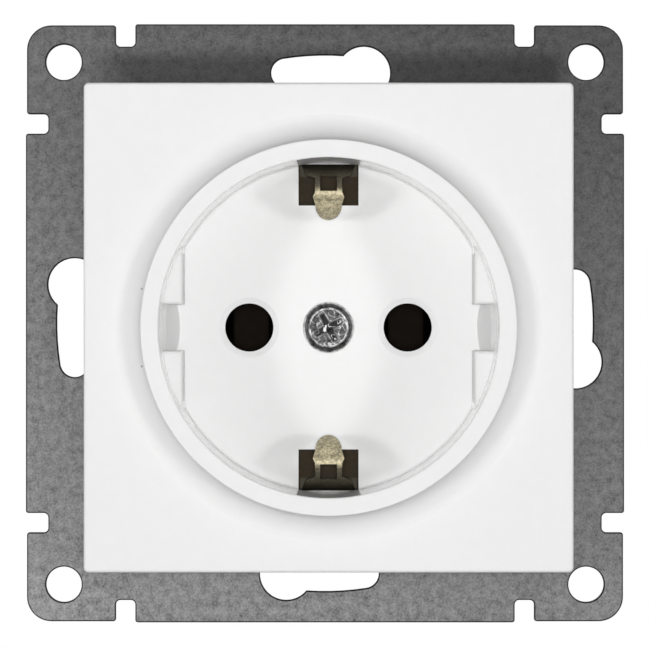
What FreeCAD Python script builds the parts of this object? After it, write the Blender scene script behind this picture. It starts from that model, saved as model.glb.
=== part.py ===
import FreeCAD, Part
import math
import os

# Type F wall socket insert for a round flush box, in millimetres.
# X points right, Z up, and the socket faces -Y. The wall's surface is the plane Y = 0, and the
# origin is the centre of the support frame's back. Each piece is modelled about the well's axis,
# which lies a little to the right of and below that centre, and is moved there at the end.

Vector = FreeCAD.Vector
origin = Vector(0, 0, 0)
along_y = Vector(0, 1, 0)

# Clearances
slip = 0.1
easy = 0.3
same_place = 0.001

# Support frame: a stamped steel plate
frame_thickness = 1.0
frame_margin = 5.4
well_axis_x = 0.42
well_axis_z = -0.5
frame_corner_radius = 2.9
frame_corner_set_in = 0.13
collar_lap = 1.0
corner_hole_radius = 2.1
corner_hole_set_in = 4.5
notch_set_in = 11.8
notch_width = 2.3
notch_depth = 2.65
notch_corner_radius = 0.55
notch_mouth_radius = 0.3
keyhole_set_out = 7.4
keyhole_slot_width = 3.45
keyhole_round_radius = 3.12
keyhole_round_angle = 8.8
keyhole_slot_angle = 8.9

# Central plate: the white moulding, with the well that the plug goes into
plate_margin = 3.7
plate_corner_radius = 0.6
plate_front_edge_radius = 0.35
plate_face_y = -9.0
plate_wall = 2.5
skirt_wall = 1.8
skirt_depth = 5.0
rib_thickness = 1.2
rib_height = 2.0
ring_height = 3.0
ring_width = 2.1
ring_edge_radius = 0.15
rim_edge_radius = 0.2
well_depth = 17.5
well_wall = 1.6
well_floor = 2.0
well_corner_radius = 0.3
ledge_depth = 2.55
ledge_height = 8.0
ledge_edge_radius = 0.4
ledge_notch_width = 5.5
ledge_ramp_reach = 1.95
ledge_ramp_radius = 10.8
window_half_width = 3.6
window_set_in = 0.2
window_length = 4.94

# Plug pins
pin_pitch = 19.0
pin_hole_radius = 2.9
pin_hole_chamfer = 0.25
pin_hole_chamfer_width = 0.7

# Centre screw and its nut
screw_radius = 1.5
screw_head_radius = 3.0
screw_head_depth = 1.5
screw_head_crown = 0.5
screw_crown_radius = 2.3
screw_crown_fall = 0.15
screw_crown_step = 0.2
screw_sink = 0.1
screw_past_nut = 2.8
screw_tip_chamfer = 0.75
screw_slot_width = 0.8
screw_slot_depth = 1.0
screw_slot_reach = 2.1
screw_turn = 30
nut_side = 6.8
nut_thickness = 2.5
nut_corner_radius = 0.4

# Base: the dark moulding in the flush box
base_depth = 20.0
base_round_rise = 4.5
base_wall = 1.9
base_front_wall = 3.5
pole_front_wall = 2.5
partition = 1.4
collar_clearance = 0.65
collar_wall = 1.6
collar_cut_width = 6.8
collar_cut_depth = 4.5
collar_cut_radius = 1.5
base_edge_radius = 0.6
window_recess_depth = 2.3
grip_rib_width = 1.0
grip_rib_height = 0.45
grip_rib_count = 5
grip_rib_pitch = 2.6

# Frame rivets
rivet_radius = 1.5
rivet_bore_radius = 0.9
rivet_head_radius = 2.5
rivet_head_thickness = 0.5
rivet_tail_radius = 1.95
ear_radius = 3.4
ear_thickness = 3.2

# Rear cover
cover_thickness = 1.8
cover_inset = 0.15
cover_edge_radius = 0.5
cover_screw_set_in = 3.96
cover_screw_radius = 1.05
cover_screw_head_radius = 2.2
cover_screw_length = 9.0
cover_recess_width = 0.4
cover_recess_depth = 0.9
cover_recess_reach = 1.3
cover_boss_radius = 2.6
post_radius = 3.3
wire_hole_radius = 1.75
wire_hole_spacing = 4.6
wire_funnel = 0.5

# Pin contacts: one folded strip each
contact_thickness = 0.7
contact_width = 6.0
contact_set_back = 1.2
contact_gap = 4.4
contact_pinch_depth = 3.6
contact_mouth_gap = 5.9
contact_back_gap = 5.7
contact_bend_radius = 1.0
contact_turn_radius = 0.7

# Terminals
cage_gap = 0.75
cage_wall = 1.0
cage_width = 10.6
cage_set_back = 2.5
cage_back_gap = 1.0
cage_edge_radius = 0.8
tail_set_in = 0.7
clamp_travel = 1.1
clamp_thickness = 0.8
clamp_length = 9.0
clamp_lip = 0.5
wire_space = 2.5
terminal_screw_radius = 1.75
terminal_head_radius = 2.8
terminal_head_height = 1.9
terminal_slot_width = 0.8
terminal_slot_depth = 0.9

# Earth bracket: one strip with both clips
earth_thickness = 0.8
strap_width = 7.0
strap_bend_radius = 0.8
clip_bend_radius = 0.7
clip_bend_set_in = 3.15
clip_bend_rise = 9.9
clip_belly_set_in = 5.55
clip_belly_rise = 5.5
clip_tip_set_in = 6.37
clip_tip_rise = 2.9
wing_foot_half = 3.35
wing_top_half = 2.66
wing_top_set_in = 1.15
neck_half = 1.6
neck_foot_set_in = 1.65
neck_top_set_in = 3.5
flare_half = 1.85
flare_set_in = 4.05
nose_half = 1.55
nose_set_in = 5.0
nose_start = 2.0
nose_crown = 0.6
nose_tip_crown = 0.35
clip_slot_half = 1.0
clip_slot_inner_set_in = 3.35
clip_slot_outer_set_in = 1.3

# Earth tab and its rivet
tab_width = 6.0
tab_bend_radius = 0.8
tab_lap = 4.4
tab_rivet_radius = 1.0
tab_rivet_head_radius = 1.8
tab_rivet_head_thickness = 0.6
tab_rivet_set_in = 5.4

# Depths worked out from the sizes above, from the front to the back
frame_front_y = -frame_thickness
skirt_end_y = plate_face_y + skirt_depth
rim_y = plate_face_y - ring_height
floor_y = rim_y + well_depth
base_front_y = floor_y + well_floor
pole_front_y = base_front_y + pole_front_wall
inner_front_y = base_front_y + base_front_wall
base_back_y = base_front_y + base_depth
cover_back_y = base_back_y + cover_thickness
strap_y = inner_front_y + earth_thickness / 2
strap_back_y = inner_front_y + earth_thickness
nut_back_y = strap_back_y + nut_thickness
screw_tip_y = nut_back_y + screw_past_nut
contact_front_y = pole_front_y + contact_set_back
contact_pinch_y = contact_front_y + contact_pinch_depth
cage_front_y = inner_front_y + cage_set_back
cage_back_y = base_back_y - cage_back_gap
tail_end_y = cage_back_y - tail_set_in
terminal_y = (cage_front_y + cage_back_y) / 2

# Reaches worked out from the pins outwards: the contacts, the terminals, then the base's walls
pin_x = pin_pitch / 2
pole_inner_x = pin_x - contact_mouth_gap / 2 - contact_thickness - easy
cage_inner_reach = pin_x + contact_mouth_gap / 2 + contact_thickness + cage_gap
tail_face = cage_inner_reach + cage_wall + slip
wire_reach = tail_face + earth_thickness + wire_space / 2
clamp_face = tail_face + earth_thickness + wire_space
clamp_back = clamp_face + clamp_thickness
cage_outer_reach = clamp_back + clamp_travel + cage_wall
chamber_outer = cage_outer_reach + easy
inner_half = chamber_outer + slip
base_half = inner_half + base_wall
base_round_radius = base_half + base_round_rise
cover_screw_circle = base_round_radius - cover_screw_set_in
pole_chamber_half = contact_width / 2 + easy
cage_chamber_half = cage_width / 2 + easy
clamp_width = cage_width - 2 * (cage_wall + easy)

# The rings around the plug: the collar, the well's tube, the well and the raised ring
collar_outer_radius = base_half + slip
collar_inner_radius = collar_outer_radius - collar_wall
tube_radius = collar_inner_radius - collar_clearance
well_radius = tube_radius - well_wall
ring_outer_radius = well_radius + ring_width
cove_radius = ring_outer_radius + ring_height
plate_side = 2 * (cove_radius + plate_margin)
ledge_chord = well_radius - ledge_depth
window_outer_reach = well_radius - window_set_in
window_inner_reach = window_outer_reach - window_length

# The frame around the collar
rivet_circle = collar_outer_radius + rivet_tail_radius + slip
frame_opening_radius = collar_outer_radius - collar_lap
box_screw_radius = frame_opening_radius + keyhole_set_out
frame_side = 2 * (box_screw_radius + frame_margin)
corner_hole_offset = frame_side / 2 - corner_hole_set_in
notch_offset = frame_side / 2 - notch_set_in

# The earth clips, set in from the legs that rise beside the well's wall
leg_foot_radius = well_radius - easy
clip_bend = (leg_foot_radius - clip_bend_set_in, floor_y - clip_bend_rise)
clip_belly = (leg_foot_radius - clip_belly_set_in, floor_y - clip_belly_rise)
clip_tip = (leg_foot_radius - clip_tip_set_in, floor_y - clip_tip_rise)
clip_slot_inner_radius = leg_foot_radius - clip_slot_inner_set_in
clip_slot_outer_radius = leg_foot_radius - clip_slot_outer_set_in
channel_half = strap_width / 2 + easy
strap_end = leg_foot_radius + earth_thickness / 2
channel_end = strap_end + easy
tab_rivet_z = tail_face - tab_rivet_set_in
tab_start = tab_rivet_z - tab_lap


def block(x, y, z):
    return Part.makeBox(x[1] - x[0], y[1] - y[0], z[1] - z[0], Vector(x[0], y[0], z[0]))


def rod(radius, y, x=0, z=0):
    return Part.makeCylinder(radius, y[1] - y[0], Vector(x, y[0], z), along_y)


def cone(radii, y, x=0, z=0):
    return Part.makeCone(radii[0], radii[1], y[1] - y[0], Vector(x, y[0], z), along_y)


def turned_by(shape, degrees):
    # A copy turned clockwise about Y, as seen from the front.
    copy = shape.copy()
    copy.rotate(origin, along_y, degrees)
    return copy


def clockwise_point(radius, degrees, y=0):
    angle = math.radians(degrees)
    return Vector(radius * math.cos(angle), y, -radius * math.sin(angle))


def edges_along(shape, direction):
    # The straight edges of a shape that run in one direction.
    found = []
    for edge in shape.Edges:
        if len(edge.Vertexes) != 2 or not isinstance(edge.Curve, Part.Line):
            continue
        if edge.tangentAt(edge.FirstParameter).cross(direction).Length < same_place:
            found.append(edge)
    return found


def edges_at_y(shape, y):
    # The edges that lie wholly in the plane at one depth.
    found = []
    for edge in shape.Edges:
        box = edge.BoundBox
        if abs(box.YMin - y) < same_place and abs(box.YMax - y) < same_place:
            found.append(edge)
    return found


def rounded_block(x, y, z, radius):
    shape = block(x, y, z)
    return shape.makeFillet(radius, edges_along(shape, along_y))


def filled(start, steps, place):
    # A flat face: a step is a point for a line, or a (middle, end) pair for an arc.
    edges = []
    here = start
    for step in steps + [start]:
        if isinstance(step[0], tuple):
            edges.append(Part.Arc(place(here), place(step[0]), place(step[1])).toShape())
            here = step[1]
        elif step != here:
            edges.append(Part.makeLine(place(here), place(step)))
            here = step
    return Part.Face(Part.Wire(edges))


def turned(start, steps):
    # A solid of revolution about Y, from a profile of (radius, y) points.
    profile = filled(start, steps, lambda point: Vector(point[0], point[1], 0))
    return profile.revolve(origin, along_y, 360)


def on_arc(centre, radius, degrees):
    angle = math.radians(degrees)
    return (centre[0] + radius * math.cos(angle), centre[1] + radius * math.sin(angle))


def strip_edges(points, radii, offset):
    # One side of a folded strip: straight runs joined by arcs, set off from the centre line.
    edges = []
    runs = []
    for first, second in zip(points, points[1:]):
        run = (second - first).normalize()
        runs.append(run)
    normals = [Vector(-run.y, run.x, 0) for run in runs]
    here = points[0] + normals[0] * offset
    for index, radius in enumerate(radii):
        corner = points[index + 1]
        before, after = runs[index], runs[index + 1]
        side = 1 if before.cross(after).z > 0 else -1
        tangent = radius * math.tan(before.getAngle(after) / 2)
        centre = corner - before * tangent + normals[index] * (side * radius)
        start = corner - before * tangent + normals[index] * offset
        end = corner + after * tangent + normals[index + 1] * offset
        middle = centre + (corner - centre).normalize() * (radius - side * offset)
        edges.append(Part.makeLine(here, start))
        edges.append(Part.Arc(start, middle, end).toShape())
        here = end
    edges.append(Part.makeLine(here, points[-1] + normals[-1] * offset))
    return edges


def folded_strip(points, radii, thickness, width):
    # A strip folded along a path in the XY plane, and centred on Z = 0.
    path = [Vector(point[0], point[1], 0) for point in points]
    left = strip_edges(path, radii, thickness / 2)
    right = strip_edges(path, radii, -thickness / 2)
    caps = [
        Part.makeLine(left[0].Vertexes[0].Point, right[0].Vertexes[0].Point),
        Part.makeLine(left[-1].Vertexes[-1].Point, right[-1].Vertexes[-1].Point),
    ]
    wire = Part.Wire(Part.__sortEdges__(left + right + caps))
    strip = Part.Face(wire).extrude(Vector(0, 0, width))
    strip.translate(Vector(0, 0, -width / 2))
    return strip


def keyhole():
    # The right-hand keyhole: an arc slot on the box screws' circle that opens into a round hole.
    y = (frame_front_y - easy, easy)
    half = keyhole_slot_width / 2
    low = box_screw_radius - half
    high = box_screw_radius + half
    section = filled((low, y[0]), [(high, y[0]), (high, y[1]), (low, y[1])],
                     lambda point: Vector(point[0], point[1], 0))
    section.rotate(origin, along_y, -keyhole_slot_angle)
    slot = section.revolve(origin, along_y, keyhole_slot_angle + keyhole_round_angle)
    slot_end = clockwise_point(box_screw_radius, -keyhole_slot_angle)
    round_end = clockwise_point(box_screw_radius, keyhole_round_angle)
    slot = slot.fuse(rod(half, y, slot_end.x, slot_end.z))
    return slot.fuse(rod(keyhole_round_radius, y, round_end.x, round_end.z))


def support_frame():
    y = (frame_front_y, 0)
    through = (frame_front_y - easy, easy)
    half = frame_side / 2
    corner_half = half - frame_corner_set_in
    plate = rounded_block((-corner_half, corner_half), y, (-corner_half, corner_half),
                          frame_corner_radius)
    edge_half = notch_offset - notch_width / 2
    cuts = []
    for quarter in range(4):
        angle = 90 * quarter
        plate = plate.fuse(turned_by(block((corner_half - easy, half), y, (-edge_half, edge_half)), angle))
        for side in (-1, 1):
            z = side * notch_offset
            notch = rounded_block((half - notch_depth, half + notch_depth), through,
                                  (z - notch_width / 2, z + notch_width / 2), notch_corner_radius)
            cuts.append(turned_by(notch, angle))
        cuts.append(turned_by(rod(corner_hole_radius, through, corner_hole_offset, corner_hole_offset), angle))
        cuts.append(turned_by(keyhole(), angle))
    for cut in cuts:
        plate = plate.cut(cut)
    plate = plate.removeSplitter()
    plate = plate.makeFillet(notch_mouth_radius, notch_mouths(plate))
    plate.translate(Vector(-well_axis_x, 0, -well_axis_z))
    plate = plate.cut(rod(frame_opening_radius, through))
    for quarter in range(4):
        at = clockwise_point(rivet_circle, 90 * quarter + 45)
        plate = plate.cut(rod(rivet_radius + slip, through, at.x, at.z))
    return plate


def notch_mouths(plate):
    # The upright edges where the notches open at the frame's outline.
    outline = frame_side / 2 - frame_corner_set_in - same_place
    mouths = []
    for edge in edges_along(plate, along_y):
        reaches = sorted([abs(edge.CenterOfMass.x), abs(edge.CenterOfMass.z)])
        if reaches[1] > outline and abs(reaches[0] - notch_offset) < notch_width:
            mouths.append(edge)
    return mouths


def ring():
    # The raised ring around the well, with a hollow curve down to the plate's face.
    cove = (cove_radius, rim_y)
    edge = (ring_outer_radius - ring_edge_radius, rim_y + ring_edge_radius)
    cove_start_y = rim_y + ring_edge_radius
    cove_start = (cove[0] - math.sqrt(ring_height ** 2 - ring_edge_radius ** 2), cove_start_y)
    steps = [
        (edge[0], rim_y),
        (on_arc(edge, ring_edge_radius, -50), cove_start),
        (on_arc(cove, ring_height, 135), (cove[0], plate_face_y)),
        (cove[0], plate_face_y + plate_wall / 2),
        (0, plate_face_y + plate_wall / 2),
    ]
    return turned((0, rim_y), steps)


def well():
    # The space of the well, with a rounded rim and a rounded corner at its floor.
    rim = (well_radius + rim_edge_radius, rim_y + rim_edge_radius)
    corner = (well_radius - well_corner_radius, floor_y - well_corner_radius)
    steps = [
        (rim[0], rim_y - easy),
        (rim[0], rim_y),
        (on_arc(rim, rim_edge_radius, 225), (well_radius, rim[1])),
        (well_radius, corner[1]),
        (on_arc(corner, well_corner_radius, 45), (corner[0], floor_y)),
        (0, floor_y),
    ]
    return turned((0, rim_y - easy), steps)


def ledge():
    # The right-hand ledge: a chord of the well that stands up from its floor, with a notch. A
    # steep ramp in the notch runs down from the well's wall to the floor.
    top_y = floor_y - ledge_height
    y = (top_y, floor_y + well_floor / 2)
    reach = well_radius + well_wall / 2
    chord = block((ledge_chord, reach), y, (-reach, reach)).common(rod(reach, y))
    half = ledge_notch_width / 2
    chord = chord.cut(block((ledge_chord - easy, reach), (y[0] - easy, floor_y), (-half, half)))
    rounded = []
    for edge in chord.Edges:
        middle = edge.valueAt((edge.FirstParameter + edge.LastParameter) / 2)
        straight = isinstance(edge.Curve, Part.Line)
        if straight and abs(middle.y - top_y) < same_place:
            rounded.append(edge)
    chord = chord.makeFillet(ledge_edge_radius, rounded)
    ramp = cone((ledge_ramp_radius - ledge_ramp_reach, ledge_ramp_radius), (top_y, floor_y),
                well_radius - ledge_ramp_reach + ledge_ramp_radius)
    return chord.fuse(ramp.common(block((ledge_chord, reach), y, (-half, half))).common(rod(reach, y)))


def window():
    # The upper earth clip's window: its straight outer edge cuts into the foot of the well's wall.
    y = (floor_y - easy, base_front_y + easy)
    return block((-window_half_width, window_half_width), y, (window_inner_reach, window_outer_reach))


def underside_ribs():
    # Ribs behind the face, from the well's tube out to the skirt.
    y = (plate_face_y + plate_wall, plate_face_y + plate_wall + rib_height)
    half = rib_thickness / 2
    inner_half_side = plate_side / 2 - skirt_wall
    ribs = []
    for index in range(8):
        reach = inner_half_side if index % 2 == 0 else inner_half_side * math.sqrt(2) - rib_thickness
        ribs.append(turned_by(block((tube_radius - well_wall / 2, reach), y, (-half, half)), 45 * index))
    return ribs


def central_plate():
    half = plate_side / 2
    body = rounded_block((-half, half), (plate_face_y, skirt_end_y), (-half, half), plate_corner_radius)
    body = body.makeFillet(plate_front_edge_radius, edges_at_y(body, plate_face_y))
    inner = half - skirt_wall
    body = body.cut(block((-inner, inner), (plate_face_y + plate_wall, skirt_end_y + easy), (-inner, inner)))
    body = body.fuse(rod(tube_radius, (plate_face_y + plate_wall / 2, base_front_y)))
    for rib in underside_ribs():
        body = body.fuse(rib)
    body = body.fuse(ring()).cut(well())
    for angle in (0, 180):
        body = body.fuse(turned_by(ledge(), angle))
    holes = [centre_countersink()]
    for side in (-1, 1):
        holes.append(pin_hole(side * pin_x))
        holes.append(turned_by(window(), 90 - 90 * side))
    for hole in holes:
        body = body.cut(hole)
    return body.removeSplitter()


def pin_hole(x):
    hole = rod(pin_hole_radius, (floor_y - easy, base_front_y + easy), x)
    mouth = pin_hole_radius + pin_hole_chamfer_width
    return hole.fuse(cone((mouth, pin_hole_radius), (floor_y, floor_y + pin_hole_chamfer), x))


def centre_countersink():
    seat = screw_head_radius + slip
    hole_radius = screw_radius + slip
    sink_y = floor_y + screw_sink
    hole = rod(seat, (floor_y - easy, sink_y)).fuse(rod(hole_radius, (floor_y, base_front_y + easy)))
    return hole.fuse(cone((seat, hole_radius), (sink_y, sink_y + screw_head_depth)))


def driver_slot(width, depth, radius):
    # A cross recess from the plane Y = 0 backwards: crossed slots with sloping ends, and a cone.
    y = (-easy, depth)
    slot = block((-width / 2, width / 2), y, (-radius, radius))
    recess = slot.fuse(turned_by(slot, 90)).fuse(cone((width, width / 2), y))
    return recess.common(cone((radius, radius / 2), y))


def centre_screw():
    # A countersunk screw whose slightly domed middle stands up from the rim of its head.
    top_y = floor_y + screw_sink
    neck_y = top_y + screw_head_depth
    crown = (0, top_y - screw_head_crown)
    shoulder = (screw_crown_radius, crown[1] + screw_crown_fall)
    steps = [
        ((shoulder[0] / 2, crown[1] + screw_crown_fall / 4), shoulder),
        (shoulder[0] + slip, shoulder[1] + screw_crown_step),
        (screw_head_radius, top_y),
        (screw_radius, neck_y),
        (screw_radius, screw_tip_y - screw_tip_chamfer),
        (screw_radius - screw_tip_chamfer, screw_tip_y),
        (0, screw_tip_y),
    ]
    screw = turned(crown, steps)
    recess = driver_slot(screw_slot_width, screw_slot_depth, screw_slot_reach)
    recess.translate(Vector(0, top_y - screw_head_crown / 2, 0))
    return screw.cut(turned_by(recess, screw_turn))


def centre_nut():
    half = nut_side / 2
    nut = rounded_block((-half, half), (strap_back_y, nut_back_y), (-half, half), nut_corner_radius)
    bore = screw_radius + slip / 2
    nut = nut.cut(rod(bore, (strap_back_y - easy, nut_back_y + easy)))
    return nut.cut(cone((bore, bore + easy), (nut_back_y - easy, nut_back_y)))


def base_outline(inset, y):
    half = base_half - inset
    square = block((-half, half), y, (-half, half))
    return square.common(rod(base_round_radius - inset, y))


def chambers(grow, front_grow):
    # The chambers that open at the back; grown, they give the partitions around them.
    back = base_back_y + easy
    spaces = []
    for side in (0, 180):
        y = (pole_front_y - front_grow, back)
        pin_part = block((pole_inner_x - grow, cage_inner_reach), y,
                         (-pole_chamber_half - grow, pole_chamber_half + grow))
        cage_part = block((cage_inner_reach - easy - grow, chamber_outer), y,
                          (-cage_chamber_half - grow, cage_chamber_half + grow))
        spaces.append(turned_by(pin_part, side))
        spaces.append(turned_by(cage_part, side))
    y = (inner_front_y, back)
    spaces.append(block((-channel_half - grow, channel_half + grow), y, (-chamber_outer, channel_end)))
    earth = block((cage_inner_reach - easy - grow, chamber_outer), (cage_front_y - easy, back),
                  (-cage_chamber_half - grow, cage_chamber_half + grow))
    spaces.append(turned_by(earth, 90))
    return spaces


def collar():
    # The ring behind the frame that surrounds the well's tube, with ears for the rivets.
    y = (0, base_front_y + easy)
    ring_wall = rod(collar_outer_radius, y)
    for quarter in range(4):
        at = clockwise_point(rivet_circle, 90 * quarter + 45)
        ear = rod(ear_radius, (0, ear_thickness), at.x, at.z)
        web = block((collar_inner_radius, rivet_circle), (0, ear_thickness), (-ear_radius, ear_radius))
        ring_wall = ring_wall.fuse(ear).fuse(turned_by(web, 90 * quarter + 45))
    return ring_wall


def collar_cuts():
    half = collar_cut_width / 2
    cuts = []
    for quarter in range(4):
        cut = block((collar_inner_radius - collar_wall, collar_outer_radius + collar_wall),
                    (-collar_cut_depth, collar_cut_depth), (-half, half))
        cut = cut.makeFillet(collar_cut_radius, edges_along(cut, Vector(1, 0, 0)))
        cuts.append(turned_by(cut, 90 * quarter))
    return cuts


def grip_ribs():
    # Short ribs on the top side of the base, where fingers hold it.
    ribs = []
    y = (base_front_y + base_wall, base_back_y - base_wall)
    first = -grip_rib_pitch * (grip_rib_count - 1) / 2
    for index in range(grip_rib_count):
        x = first + index * grip_rib_pitch
        ribs.append(block((x - grip_rib_width / 2, x + grip_rib_width / 2), y,
                          (base_half - grip_rib_height, base_half + grip_rib_height)))
    return ribs


def clip_passages():
    # Each earth clip's recess in the front wall, and the slot that its leg passes through.
    passages = []
    recess_y = (base_front_y - easy, base_front_y + window_recess_depth)
    slot_y = (base_front_y, inner_front_y + easy)
    half = window_half_width + easy
    recess = block((-half, half), recess_y, (window_inner_reach - easy, well_radius + easy))
    slot_inner = leg_foot_radius - leg_lean(strap_y - base_front_y) - earth_thickness / 2 - slip
    slot_half = wing_foot_half + slip
    slot = block((-slot_half, slot_half), slot_y, (slot_inner, channel_end))
    for angle in (0, 180):
        passages.append(turned_by(recess, angle))
        passages.append(turned_by(slot, angle))
    return passages


def leg_lean(rise):
    # How far the clip's leg leans inwards over a rise from the strap.
    return clip_bend_set_in * rise / (strap_y - clip_bend[1])


def screw_boss(degrees):
    at = clockwise_point(cover_screw_circle, degrees)
    return rod(cover_boss_radius, (inner_front_y - easy, base_back_y), at.x, at.z)


def base():
    y = (base_front_y, base_back_y)
    body = base_outline(0, y)
    corners = edges_along(body, along_y)
    body = body.makeFillet(base_edge_radius, corners)
    inside = base_outline(base_wall, (inner_front_y, base_back_y))
    walls = []
    for space in chambers(partition, 0):
        walls.append(space.common(inside))
    for degrees in (45, 225):
        walls.append(screw_boss(degrees).common(base_outline(base_wall / 2, y)))
    body = body.cut(inside)
    for wall in walls + grip_ribs():
        body = body.fuse(wall)
    body = body.fuse(collar()).removeSplitter()
    cuts = chambers(0, 0) + collar_cuts() + clip_passages()
    cuts.append(rod(collar_inner_radius, (-easy, base_front_y)))
    cuts.append(rod(screw_radius + slip, (base_front_y - easy, inner_front_y + easy)))
    for side in (-1, 1):
        cuts.append(rod(pin_hole_radius + easy, (base_front_y - easy, pole_front_y + easy), side * pin_x))
    for angle in (0, 90, 180):
        cuts.append(turned_by(terminal_access(), angle))
    for quarter in range(4):
        at = clockwise_point(rivet_circle, 90 * quarter + 45)
        cuts.append(rod(rivet_radius + slip, (-easy, ear_thickness + easy), at.x, at.z))
    for degrees in (45, 225):
        at = clockwise_point(cover_screw_circle, degrees)
        depth = (cover_back_y - cover_screw_length - easy, base_back_y + easy)
        cuts.append(rod(cover_screw_radius + slip / 2, depth, at.x, at.z))
    for cut in cuts:
        body = body.cut(cut)
    return body


def terminal_access():
    # The hole in the base's wall that a screwdriver reaches the terminal screw through.
    radius = terminal_head_radius + easy
    reach = base_half + base_wall
    return Part.makeCylinder(radius, reach - inner_half + easy, Vector(inner_half - easy, terminal_y, 0),
                             Vector(1, 0, 0))


def rear_cover():
    y = (base_back_y, cover_back_y)
    cover = base_outline(cover_inset, y)
    cover = cover.makeFillet(base_edge_radius, edges_along(cover, along_y))
    cover = cover.makeFillet(cover_edge_radius, edges_at_y(cover, cover_back_y))
    cover = cover.fuse(rod(post_radius, (nut_back_y, base_back_y)))
    cuts = [rod(screw_radius + easy, (nut_back_y - easy, screw_tip_y + screw_sink + easy))]
    for angle in (0, 90, 180):
        for side in (-1, 1):
            at = turned_point(wire_reach, side * wire_hole_spacing / 2, angle)
            cuts.append(rod(wire_hole_radius, (y[0] - easy, y[1] + easy), at.x, at.z))
            mouth = wire_hole_radius + wire_funnel
            cuts.append(cone((wire_hole_radius, mouth), (y[1] - wire_funnel, y[1]), at.x, at.z))
    for degrees in (45, 225):
        at = clockwise_point(cover_screw_circle, degrees)
        cuts.append(rod(cover_screw_radius + slip, (y[0] - easy, y[1] + easy), at.x, at.z))
        head = cover_screw_head_radius + slip
        shank = cover_screw_radius + slip
        cuts.append(cone((shank, head), (y[1] - head + shank, y[1]), at.x, at.z))
    for cut in cuts:
        cover = cover.cut(cut)
    return cover.removeSplitter()


def turned_point(x, z, degrees):
    point = Part.Vertex(x, 0, z)
    point.rotate(origin, along_y, degrees)
    return point.Point


def rear_cover_screws():
    screws = []
    head_depth = cover_screw_head_radius - cover_screw_radius
    for degrees in (45, 225):
        at = clockwise_point(cover_screw_circle, degrees)
        shank_y = (cover_back_y - cover_screw_length, cover_back_y)
        screw = rod(cover_screw_radius, shank_y, at.x, at.z)
        head_y = (cover_back_y - head_depth, cover_back_y)
        screw = screw.fuse(cone((cover_screw_radius, cover_screw_head_radius), head_y, at.x, at.z))
        recess = driver_slot(cover_recess_width, cover_recess_depth, cover_recess_reach)
        recess = recess.mirror(origin, along_y)
        recess.translate(Vector(at.x, cover_back_y, at.z))
        screws.append(screw.cut(recess))
    return Part.makeCompound(screws)


def frame_rivets():
    # Tubular rivets: a flat head on the frame's front, and a rolled tail behind the ear.
    rivets = []
    head_y = frame_front_y - rivet_head_thickness
    tail_y = ear_thickness + rivet_head_thickness
    steps = [
        (rivet_head_radius - slip, head_y),
        (rivet_head_radius, head_y + slip),
        (rivet_head_radius, frame_front_y),
        (rivet_radius, frame_front_y),
        (rivet_radius, ear_thickness),
        (rivet_tail_radius, ear_thickness),
        (rivet_tail_radius, ear_thickness + slip),
        (rivet_bore_radius, tail_y),
    ]
    rivet = turned((rivet_bore_radius, head_y), steps)
    for quarter in range(4):
        copy = rivet.copy()
        copy.translate(clockwise_point(rivet_circle, 90 * quarter + 45))
        rivets.append(copy)
    return Part.makeCompound(rivets)


def pin_contact(side):
    # One strip: a fork around the pin, a turn over its outer leaf, and a tail in the terminal.
    half = contact_thickness / 2
    mouth = contact_mouth_gap / 2 + half
    pinch = contact_gap / 2 + half
    back = contact_back_gap / 2 + half
    back_y = base_back_y - easy - half
    turn_y = pole_front_y + easy + half
    tail_x = tail_face + half
    points = [
        (pin_x - mouth, contact_front_y),
        (pin_x - pinch, contact_pinch_y),
        (pin_x - back, back_y),
        (pin_x + back, back_y),
        (pin_x + pinch, contact_pinch_y),
        (pin_x + mouth, turn_y),
        (tail_x, turn_y),
        (tail_x, tail_end_y),
    ]
    radii = [contact_bend_radius * 2, contact_bend_radius, contact_bend_radius, contact_bend_radius * 2,
             contact_turn_radius, contact_turn_radius]
    strip = folded_strip(points, radii, contact_thickness, contact_width)
    return turned_by(strip, 90 - 90 * side)


def terminal_cage(degrees):
    # A square tube around the wires and the tail, with the screw's threaded hole in its outer wall.
    x = (cage_inner_reach, cage_outer_reach)
    y = (cage_front_y, cage_back_y)
    half = cage_width / 2
    cage = block(x, y, (-half, half))
    cage = cage.makeFillet(cage_edge_radius, edges_along(cage, along_y))
    inner = half - cage_wall
    hollow = block((x[0] + cage_wall, x[1] - cage_wall), (y[0] - easy, y[1] + easy), (-inner, inner))
    cage = cage.cut(hollow)
    hole = Part.makeCylinder(terminal_screw_radius + slip / 2, cage_wall + 2 * easy,
                             Vector(x[1] - cage_wall - easy, terminal_y, 0), Vector(1, 0, 0))
    return turned_by(cage.cut(hole), degrees)


def clamp_plate(degrees):
    # A pressed plate whose two ends turn up, away from the wires.
    half = clamp_thickness / 2
    x = clamp_face + half
    y = (terminal_y - clamp_length / 2, terminal_y + clamp_length / 2)
    points = [(x + clamp_lip, y[0]), (x, y[0] + 2 * clamp_lip), (x, y[1] - 2 * clamp_lip), (x + clamp_lip, y[1])]
    plate = folded_strip(points, [contact_bend_radius, contact_bend_radius], clamp_thickness, clamp_width)
    return turned_by(plate, degrees)


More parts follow.
